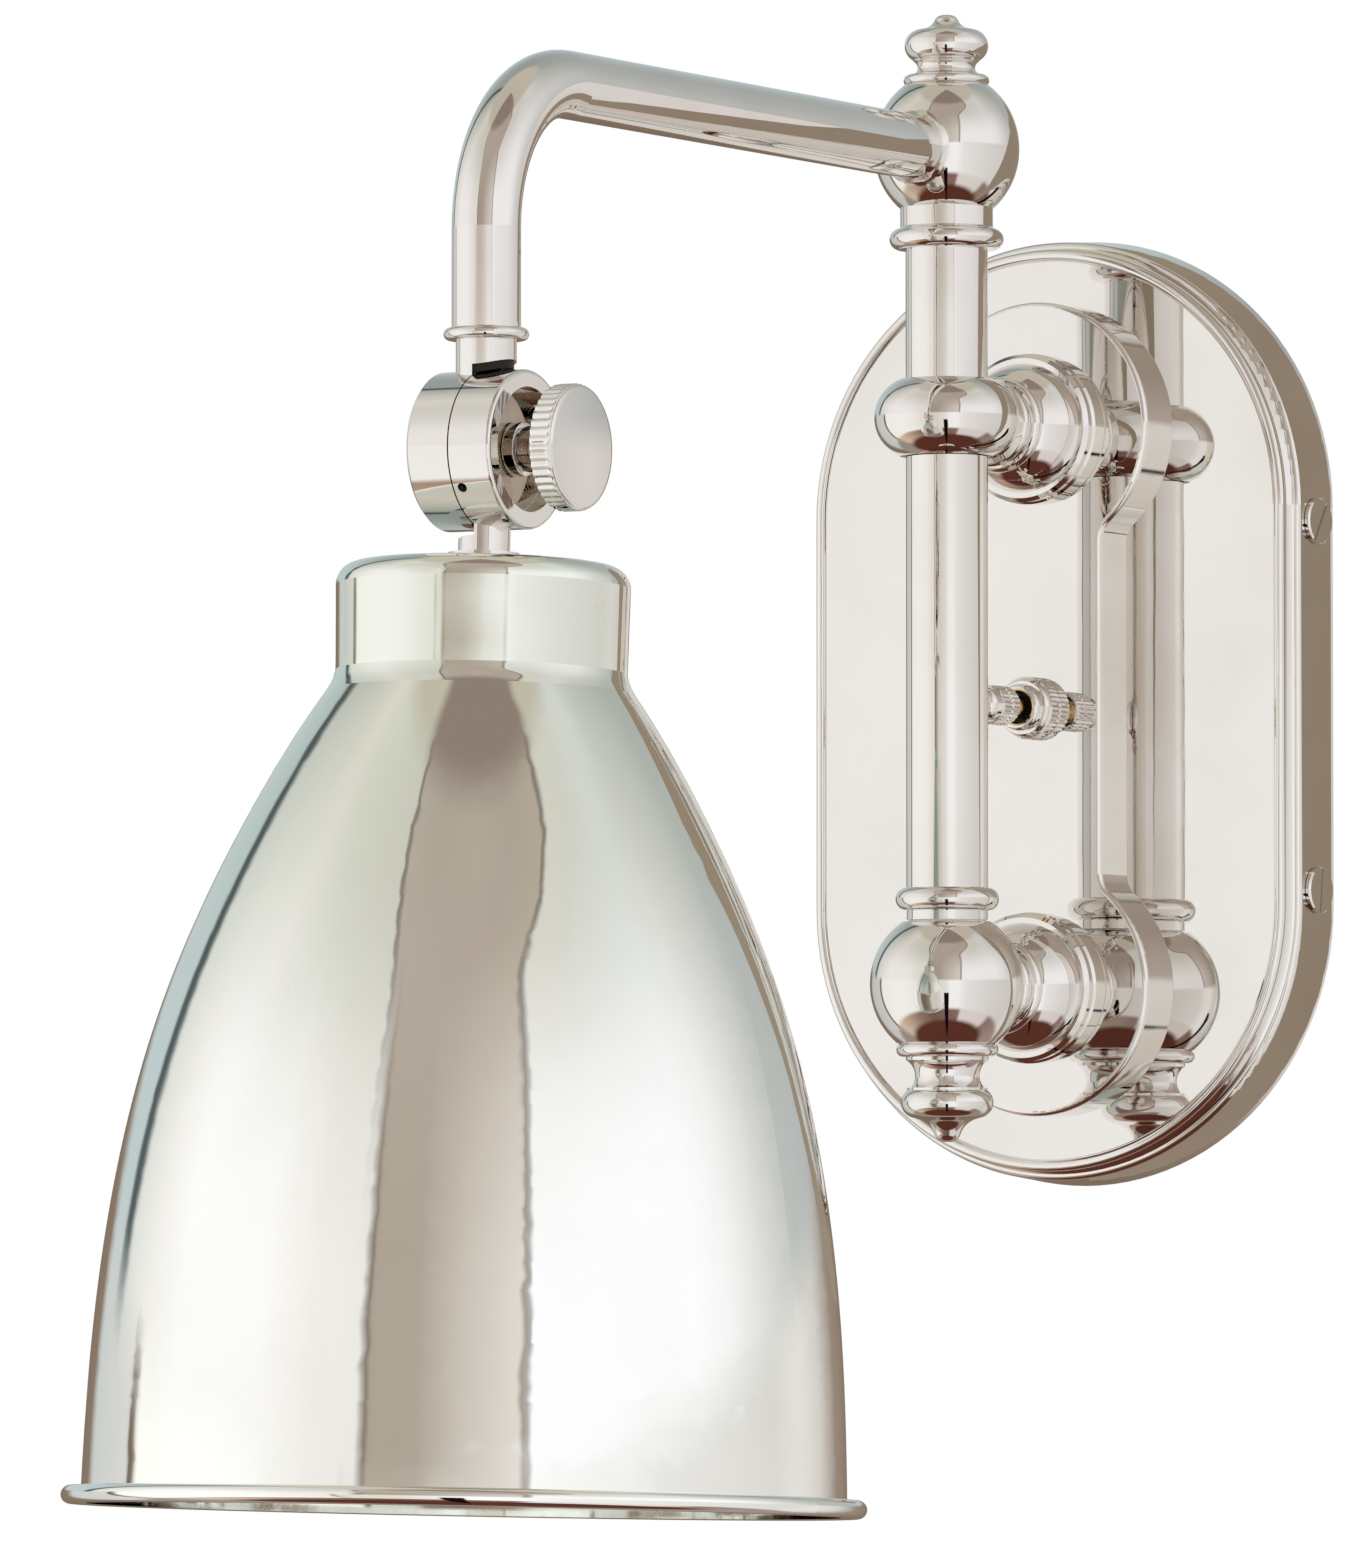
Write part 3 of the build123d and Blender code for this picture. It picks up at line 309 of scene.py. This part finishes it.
# A taupe board by the wall, round the backplate's right side. It is part of the backdrop, and is seen in
# mirrors only, where it darkens the plate's side wall.
plate_half_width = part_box("backplate")[1][0]
plate_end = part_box("backplate")[1][2] - plate_half_width
board_gap = 2 * mm
board_reach = 46.5 * mm
board_reach_low = 20 * mm
quarter_steps = 12
board_step = 90 / quarter_steps
board_edge = [(board_step * step, -plate_end, board_reach_low) for step in range(-quarter_steps, 1)]
board_edge += [(board_step * step, plate_end, board_reach) for step in range(quarter_steps + 1)]
board_points = []
for angle, level, reach in board_edge:
    for distance in (plate_half_width + board_gap, plate_half_width + reach):
        across = distance * math.cos(math.radians(angle))
        board_points.append((across, board_gap, level + distance * math.sin(math.radians(angle))))
board_faces = [(first, first + 1, first + 3, first + 2) for first in range(0, len(board_points) - 2, 2)]
board_mesh = bpy.data.meshes.new("back_board")
board_mesh.from_pydata(board_points, [], board_faces)
board = bpy.data.objects.new("back_board", board_mesh)
board.visible_camera = False
board.visible_diffuse = False
board.visible_shadow = False
bpy.context.scene.collection.objects.link(board)


# ---------------------------------------------------------------- finishes
def finish(name, colour, metallic, roughness):
    """A new material and its Tree, with the constants set on the shader itself."""
    material = bpy.data.materials.new(name)
    material.use_nodes = True
    shader = material.node_tree.nodes["Principled BSDF"]
    shader.inputs["Base Color"].default_value = (*colour, 1.0)
    shader.inputs["Metallic"].default_value = metallic
    shader.inputs["Roughness"].default_value = roughness
    tree = Tree(material.node_tree)
    tree.shader = shader
    tree.place = tree.node("ShaderNodeTexCoord").outputs["Object"]
    return material, tree


def bumped(tree, height, distance):
    """Joins a height map to the shader's normal."""
    inputs = {"Height": height, "Distance": distance, "Strength": 1.0}
    bump = tree.node("ShaderNodeBump", inputs)
    tree.put(tree.shader.inputs["Normal"], bump.outputs["Normal"])


def mirror_surface(tree, haze_low, haze_high):
    """The roughness of a buffed plate: smudges, and fine wiping marks across them."""
    smudge = tree.noise(tree.place, 210, 4, 0.6)
    wiping = tree.noise(tree.stretched(tree.place, (1400, 1400, 90)), 1.0, 2)
    haze = tree.ease(smudge, 0.5, 0.8, haze_low, haze_high)
    marks = tree.ease(wiping, 0.64, 0.78, 0.0, 0.03)
    tree.put(tree.shader.inputs["Roughness"], tree.math("ADD", haze, marks))


def polished_nickel(name="polished_nickel", hollow=None, hollow_radius=0.0, hollow_start=0.0):
    """Mirror-polished nickel plate with faint clouds of tarnish. In a hollow the colour is painted dark
    brown, as painted shade and reflection. The hollow is round, on an axis along X through the point hollow,
    and starts at hollow_start."""
    material, tree = finish(name, nickel_bright, 1.0, 0.04)
    clouds = tree.noise(tree.place, 34, 3)
    tint = tree.mix(tree.ease(clouds, 0.35, 0.7), (*nickel_bright, 1.0), (*nickel_dull, 1.0))
    if hollow:
        spot = tree.node("ShaderNodeSeparateXYZ", {"Vector": tree.place}).outputs
        out = tree.math("SUBTRACT", spot["Y"], hollow[1])
        high = tree.math("SUBTRACT", spot["Z"], hollow[2])
        off = tree.math("SQRT", tree.math("MULTIPLY_ADD", out, out, tree.math("MULTIPLY", high, high)))
        within = tree.math("MULTIPLY", tree.ease(off, hollow_radius + 0.05 * mm, hollow_radius - 0.15 * mm),
                           tree.ease(spot["X"], hollow_start - 0.3 * mm, hollow_start))
        # Painted shade and reflection: inside the recess the nickel is coloured dark brown.
        oxide_and_painted_shade = tree.mix(tree.noise(tree.place, 260, 4), (0.30, 0.22, 0.16, 1.0), (0.52, 0.45, 0.37, 1.0))
        tint = tree.mix(within, tint, oxide_and_painted_shade)
    tree.put(tree.shader.inputs["Base Color"], tint)
    mirror_surface(tree, 0.02, 0.06)
    swell = tree.noise(tree.place, 70, 1.0, 0.4)
    bumped(tree, swell, 0.018 * mm)
    return material


def shade_nickel(shoulder, foot):
    """Plate over spun sheet: long soft ripples left by the spinning, dark specks, and a shoulder darkened by
    painted shade.
    """
    material, tree = finish("shade_nickel", shade_bright, 1.0, 0.04)
    clouds = tree.noise(tree.place, 30, 4, 0.6)
    specks = tree.noise(tree.place, 620, 2, 0.5)
    height = tree.node("ShaderNodeSeparateXYZ", {"Vector": tree.place}).outputs["Z"]
    # Painted shade: the colour darkens from the foot of the bell up to its shoulder.
    painted_shoulder_shade = tree.ease(height, foot, shoulder)
    tint = tree.mix(tree.ease(clouds, 0.38, 0.68), (*shade_bright, 1.0), (*shade_dull, 1.0))
    tint = tree.mix(painted_shoulder_shade, tint, (*shade_shoulder_dimmed, 1.0))
    stain = tree.math("MULTIPLY", tree.ease(clouds, 0.6, 0.75), tree.ease(specks, 0.56, 0.72))
    tint = tree.mix(tree.math("MULTIPLY", stain, 0.12), tint, linear(150, 132, 116))
    tree.put(tree.shader.inputs["Base Color"], tint)
    mirror_surface(tree, 0.03, 0.08)
    swell = tree.noise(tree.place, 24, 0.0)
    ripple = tree.noise(tree.place, 95, 1.0, 0.4)
    bumped(tree, tree.math("MULTIPLY_ADD", ripple, 0.05, swell), 0.09 * mm)
    return material


def zinc_steel():
    """Zinc-plated steel, lightly brushed, with pale crystals and a straw tint in places."""
    material, tree = finish("zinc_steel", (0.62, 0.62, 0.60), 1.0, 0.34)
    crystal = tree.node("ShaderNodeTexVoronoi", {"Vector": tree.place, "Scale": 420.0}).outputs["Color"]
    spangle = tree.node("ShaderNodeSeparateXYZ", {"Vector": crystal}).outputs["X"]
    brush = tree.noise(tree.stretched(tree.place, (60, 60, 2600)), 1.0, 3)
    tint = tree.mix(spangle, (0.56, 0.57, 0.57, 1.0), (0.68, 0.67, 0.63, 1.0))
    straw = tree.ease(tree.noise(tree.place, 60, 4), 0.52, 0.74, 0.0, 0.5)
    tree.put(tree.shader.inputs["Base Color"], tree.mix(straw, tint, (0.60, 0.55, 0.42, 1.0)))
    tree.put(tree.shader.inputs["Roughness"], tree.ease(brush, 0.3, 0.7, 0.24, 0.42))
    bumped(tree, tree.math("MULTIPLY_ADD", spangle, 0.25, brush), 0.012 * mm)
    return material


def green_lacquer():
    """Green lacquer on the earth screw, thin enough to show steel where it has been rubbed."""
    material, tree = finish("green_lacquer", (0.05, 0.32, 0.12), 0.0, 0.3)
    worn = tree.ease(tree.noise(tree.place, 900, 5, 0.7), 0.62, 0.7)
    shades = tree.mix(tree.noise(tree.place, 300, 3), (0.03, 0.24, 0.08, 1.0), (0.07, 0.38, 0.15, 1.0))
    tree.put(tree.shader.inputs["Base Color"], tree.mix(worn, shades, (0.55, 0.55, 0.52, 1.0)))
    tree.put(tree.shader.inputs["Metallic"], worn)
    tree.put(tree.shader.inputs["Roughness"], tree.ease(worn, 0, 1, 0.28, 0.45))
    bumped(tree, tree.noise(tree.place, 1500, 2), 0.02 * mm)
    return material


def black_oxide():
    """Oiled black oxide on a small set screw, browner where it has been handled."""
    material, tree = finish("black_oxide", (0.03, 0.03, 0.035), 1.0, 0.36)
    rub = tree.ease(tree.noise(tree.place, 700, 4), 0.5, 0.75)
    tint = tree.mix(rub, (0.018, 0.017, 0.018, 1.0), (0.07, 0.055, 0.045, 1.0))
    tree.put(tree.shader.inputs["Base Color"], tint)
    tree.put(tree.shader.inputs["Roughness"], tree.ease(rub, 0, 1, 0.3, 0.5))
    bumped(tree, tree.noise(tree.place, 3200, 3), 0.008 * mm)
    return material


def bare_brass():
    """Turned brass with tool marks and brown oxide clouds."""
    material, tree = finish("bare_brass", (0.80, 0.62, 0.32), 1.0, 0.2)
    oxide_and_painted_shade = tree.ease(tree.noise(tree.place, 160, 5, 0.62), 0.45, 0.75)
    tint = tree.mix(oxide_and_painted_shade, (0.83, 0.65, 0.35, 1.0), (0.55, 0.38, 0.17, 1.0))
    tree.put(tree.shader.inputs["Base Color"], tint)
    turning = tree.noise(tree.stretched(tree.place, (60, 60, 3400)), 1.0, 2)
    tree.put(tree.shader.inputs["Roughness"], tree.math("MULTIPLY_ADD", oxide_and_painted_shade, 0.18, 0.16))
    bumped(tree, turning, 0.006 * mm)
    return material


def glazed_porcelain():
    """White glaze with a soft orange peel, faint grey specks and a clear coat."""
    material, tree = finish("glazed_porcelain", (0.93, 0.92, 0.89), 0.0, 0.14)
    tree.shader.inputs["Coat Weight"].default_value = 0.6
    tree.shader.inputs["Coat Roughness"].default_value = 0.05
    specks = tree.ease(tree.noise(tree.place, 1600, 2), 0.72, 0.78)
    tone = tree.mix(tree.noise(tree.place, 90, 3), (0.90, 0.89, 0.85, 1.0), (0.95, 0.945, 0.92, 1.0))
    speckled = tree.mix(tree.math("MULTIPLY", specks, 0.35), tone, (0.45, 0.42, 0.38, 1.0))
    tree.put(tree.shader.inputs["Base Color"], speckled)
    tree.put(tree.shader.inputs["Roughness"], tree.ease(tree.noise(tree.place, 240, 3), 0.3, 0.7, 0.1, 0.2))
    bumped(tree, tree.noise(tree.place, 420, 2), 0.03 * mm)
    return material


def black_phenolic():
    """Moulded black phenolic with flow marks and a fine dull grain."""
    material, tree = finish("black_phenolic", (0.03, 0.03, 0.03), 0.0, 0.42)
    tree.shader.inputs["Specular IOR Level"].default_value = 0.2
    flow = tree.noise(tree.stretched(tree.place, (180, 600, 180)), 1.0, 4)
    tint = tree.mix(flow, (0.008, 0.006, 0.006, 1.0), (0.022, 0.018, 0.016, 1.0))
    tree.put(tree.shader.inputs["Base Color"], tint)
    tree.put(tree.shader.inputs["Roughness"], tree.ease(flow, 0.3, 0.7, 0.34, 0.52))
    bumped(tree, tree.noise(tree.place, 2600, 3), 0.02 * mm)
    return material


def natural_nylon():
    """Milky nylon with faint turning rings."""
    material, tree = finish("natural_nylon", (0.90, 0.89, 0.85), 0.0, 0.5)
    cloud = tree.noise(tree.place, 240, 3)
    tint = tree.mix(cloud, (0.86, 0.85, 0.79, 1.0), (0.93, 0.92, 0.89, 1.0))
    tree.put(tree.shader.inputs["Base Color"], tint)
    tree.put(tree.shader.inputs["Roughness"], tree.ease(cloud, 0.3, 0.7, 0.42, 0.58))
    bumped(tree, tree.noise(tree.stretched(tree.place, (90, 90, 4200)), 1.0, 2), 0.015 * mm)
    return material


def red_fibre():
    """Vulcanised fibre: brick red, matted with short darker strands."""
    material, tree = finish("red_fibre", (0.45, 0.16, 0.10), 0.0, 0.75)
    strands = tree.noise(tree.stretched(tree.place, (500, 2600, 900)), 1.0, 5, 0.65)
    tint = tree.mix(tree.ease(strands, 0.35, 0.7), (0.50, 0.19, 0.12, 1.0), (0.30, 0.09, 0.06, 1.0))
    tree.put(tree.shader.inputs["Base Color"], tint)
    tree.put(tree.shader.inputs["Roughness"], tree.ease(strands, 0.3, 0.7, 0.66, 0.84))
    bumped(tree, strands, 0.06 * mm)
    return material


shade_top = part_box("shade")[1]
# Painted shade on the shade's shoulder: full at this depth below the top, none at the next.
shoulder_shade_full = 40 * mm
shoulder_shade_none = 115 * mm
finishes = {
    "polished_nickel": polished_nickel(),
    "shade_nickel": shade_nickel(shade_top[2] - shoulder_shade_full, shade_top[2] - shoulder_shade_none),
    "zinc_steel": zinc_steel(),
    "green_screw": green_lacquer(),
    "black_oxide": black_oxide(),
    "brass": bare_brass(),
    "porcelain": glazed_porcelain(),
    "black_phenolic": black_phenolic(),
    "nylon": natural_nylon(),
    "fibre": red_fibre(),
}
recess_radius = 11.9 * mm
recess_start = 5.9 * mm
# The lower swivel half gets painted shade and reflection in the recess round the thumb screw.
recess_nickel = polished_nickel(
    "recess_nickel", joints["thumb_screw_turn"]["pos_m"], recess_radius, recess_start)
for name, node in nodes.items():
    slot = node.material_slots[0]
    slot.material = recess_nickel if name == "swivel_lower_half" else finishes[slot.material.name]

floor_finish, floor_tree = finish("floor_paper", (0.86, 0.85, 0.83), 0.0, 0.9)
mottle = floor_tree.noise(floor_tree.place, 3, 4)
paper = floor_tree.mix(mottle, (0.84, 0.83, 0.81, 1.0), (0.88, 0.87, 0.85, 1.0))
floor_tree.put(floor_tree.shader.inputs["Base Color"], paper)
floor_mesh.materials.append(floor_finish)

board_finish, board_tree = finish("board_cloth", (0.0, 0.0, 0.0), 0.0, 1.0)
weave = board_tree.noise(board_tree.place, 40, 3)
cloth = board_tree.mix(weave, seen_in(nickel_bright, 134, 119, 102), seen_in(nickel_bright, 142, 127, 110))
board_tree.put(board_tree.shader.inputs["Emission Color"], cloth)
board_tree.shader.inputs["Emission Strength"].default_value = 1.0
board_mesh.materials.append(board_finish)


# ---------------------------------------------------------------- turned pieces with knurls and threads
def turned_piece(name, origin, axis, outline, segments, cut=None):
    """A closed solid turned round an axis. outline lists (distance along the axis, radius) in millimetres,
    from one end to the other; a radius of 0 closes an end, and a bored outline ends where it starts.
    cut(distance, radius, angle) gives the radius after knurling or threading."""
    axis = Vector(axis).normalized()
    side = axis.orthogonal().normalized()
    across = axis.cross(side)
    bored = outline[0] == outline[-1]
    mesh = bpy.data.meshes.new(name)
    solid = bmesh.new()
    rings = []
    for distance, radius in outline[:-1] if bored else outline:
        if radius == 0:
            rings.append([solid.verts.new(Vector(origin) + axis * distance * mm)])
            continue
        ring = []
        for step in range(segments):
            angle = 2 * math.pi * step / segments
            reach = cut(distance, radius, angle) if cut else radius
            way = side * math.cos(angle) + across * math.sin(angle)
            ring.append(solid.verts.new(Vector(origin) + (axis * distance + way * reach) * mm))
        rings.append(ring)
    pairs = list(zip(rings, rings[1:]))
    if bored:
        pairs.append((rings[-1], rings[0]))
    for first, second in pairs:
        for step in range(segments):
            following = (step + 1) % segments
            corners = [first[step % len(first)], first[following % len(first)]]
            corners += [second[following % len(second)], second[step % len(second)]]
            solid.faces.new(list(dict.fromkeys(corners)))
    bmesh.ops.recalc_face_normals(solid, faces=solid.faces)
    crease = math.radians(32)
    for face in solid.faces:
        face.smooth = True
    for edge in solid.edges:
        edge.smooth = edge.calc_face_angle(0) < crease
    solid.to_mesh(mesh)
    solid.free()
    piece = bpy.data.objects.new(name, mesh)
    bpy.context.scene.collection.objects.link(piece)
    return piece


def stand_for(piece, node_name, body, slot_name):
    """The piece takes a CAD node's place, body and finish."""
    piece.data.materials.append(finishes[slot_name])
    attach(piece, body)
    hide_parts(node_name)


def knurl(start, end, least, ridges, depth, run_out, sharpness=1.0):
    """A straight knurl between two distances, outside a least radius, fading over run_out at both ends."""
    def cut(distance, radius, angle):
        if radius < least or not start <= distance <= end:
            return radius
        fade = min(1.0, (distance - start) / run_out, (end - distance) / run_out)
        wave = (0.5 + 0.5 * math.cos(ridges * angle)) ** sharpness
        return radius - depth * max(fade, 0.0) * (1.0 - wave)
    return cut


def evenly(start, end, count):
    return [start + (end - start) * step / count for step in range(count + 1)]


# Thumb screw: shank, shoulder, waist, and a domed head with a broad straight knurl and a plain ring in front
swivel = joints["thumb_screw_turn"]
seam_place = 0.4
swivel_seam = Vector(swivel["pos_m"]) + Vector(swivel["axis"]) * seam_place * mm
head_start = 15.6
knurl_end = 20.0
head_face = 20.7
head_radius = 12.1
face_radius = 11.2
head_dome = 0.45
waist_radius = 4.4
knurl_least = 11.85
thumb_ridges = 44
thumb_outline = [(-7.1, 0), (-7.1, 2.6), (-6.7, 3.0), (5.7, 3.0), (5.7, 4.9), (6.0, 5.2)]
thumb_outline += [(8.3, 5.2), (8.6, 4.9)]
thumb_outline += [(8.8, waist_radius), (head_start - 0.3, waist_radius), (head_start, waist_radius + 0.3)]
thumb_outline += [(head_start, head_radius - 0.7)]
thumb_outline += [(head_start + 0.35, head_radius - 0.1)]
thumb_outline += [(distance, head_radius) for distance in evenly(head_start + 0.6, knurl_end - 0.2, 8)]
thumb_outline += [(knurl_end, 11.9), (knurl_end + 0.1, 11.7), (knurl_end + 0.3, 11.7)]
thumb_outline += [(knurl_end + 0.4, 11.75)]
thumb_outline += [(knurl_end + 0.6, 11.5), (head_face, face_radius)]
for radius in evenly(face_radius - 0.4, 0, 12):
    thumb_outline.append((head_face + head_dome * (1 - (radius / face_radius) ** 2), radius))
thumb_screw = turned_piece(
    "thumb_screw_knurled", swivel_seam, swivel["axis"], thumb_outline, thumb_ridges * 8,
    knurl(head_start, knurl_end, knurl_least, thumb_ridges, 0.36, 0.45, 0.8))
stand_for(thumb_screw, "thumb_screw", "thumb_screw", "polished_nickel")

# Switch nut and knob, on the axis of the switch, with distances from the wall
switch = joints["switch_turn"]
switch_foot = Vector((switch["pos_m"][0], 0, switch["pos_m"][2]))
nut_ridges = 40
nut_outline = [(23.4, 4.77), (23.4, 6.3), (23.55, 6.5)]
nut_outline += [(distance, 6.5) for distance in evenly(23.7, 27.0, 6)]
nut_outline += [(27.2, 6.45), (27.35, 6.1), (27.6, 6.1), (28.0, 5.95), (28.5, 5.65), (28.6, 5.5)]
nut_outline += [(28.6, 4.95)]
nut_outline += [(29.0, 4.9), (30.1, 4.8), (30.5, 4.6), (30.75, 4.2), (30.8, 3.9), (30.6, 3.5), (30.0, 3.3)]
nut_outline += [(27.8, 3.3), (27.8, 4.77), (23.4, 4.77)]
switch_nut = turned_piece(
    "switch_nut_knurled", switch_foot, switch["axis"], nut_outline, nut_ridges * 6,
    knurl(23.5, 27.25, 6.0, nut_ridges, 0.3, 0.3))
stand_for(switch_nut, "switch_nut", "wall_plate", "polished_nickel")

knob_ridges = 26
knob_outline = [(41.0, 0), (41.0, 2.42), (36.0, 2.42), (36.0, 3.4), (36.15, 3.6), (36.5, 3.95)]
knob_outline += [(distance, 4.1) for distance in evenly(36.75, 39.3, 5)]
knob_outline += [(39.55, 3.85), (39.8, 3.85), (40.05, 4.1)]
knob_outline += [(distance, 4.1) for distance in evenly(40.2, 43.1, 5)]
knob_outline += [(43.4, 4.0), (43.5, 3.75), (43.9, 3.7), (45.6, 3.7), (46.2, 3.6), (46.8, 3.25), (47.25, 2.6)]
knob_outline += [(47.5, 1.6), (47.6, 0)]
switch_knob = turned_piece(
    "switch_knob_knurled", switch_foot, switch["axis"], knob_outline, knob_ridges * 8,
    knurl(36.4, 43.45, 3.5, knob_ridges, 0.28, 0.3))
stand_for(switch_knob, "switch_knob", "switch_knob", "polished_nickel")


# Screw shell of the lampholder: a drawn brass cup with a rolled thread, measured along the lamp's bore
holder = mounts["lampholder"]
shell_inner = holder["dims"]["r_mm"]
shell_mouth = holder["dims"]["length_mm"] / 2
shell_sheet = 0.5
shell_outer = shell_inner + shell_sheet
shell_floor_hole = 7.0
thread_pitch = 3.63
thread_depth = 0.75
thread_run_out = 2.0
thread_margin = 1.2
shell_segments = 96


def rolled_thread(distance, radius, angle):
    """A rounded thread pressed inwards into the wall, fading out at the mouth and at the floor."""
    if radius < shell_inner:
        return radius
    fade = min(1.0, max(0.0, (shell_mouth - thread_margin - abs(distance)) / thread_run_out))
    phase = 2 * math.pi * distance / thread_pitch + angle
    return radius - thread_depth * fade * (0.5 - 0.5 * math.cos(phase))


wall_steps = 80
shell_outline = [(distance, shell_outer) for distance in evenly(shell_mouth, -shell_mouth, wall_steps)]
shell_outline += [(-shell_mouth - shell_sheet, shell_outer), (-shell_mouth - shell_sheet, shell_floor_hole)]
shell_outline += [(-shell_mouth, shell_floor_hole)]
shell_outline += [(distance, shell_inner) for distance in evenly(-shell_mouth, shell_mouth, wall_steps)]
shell_outline.append(shell_outline[0])
screw_shell = turned_piece(
    "screw_shell_threaded", holder["pos_m"], holder["axis"], shell_outline, shell_segments, rolled_thread)
stand_for(screw_shell, "screw_shell", "lamp", "brass")
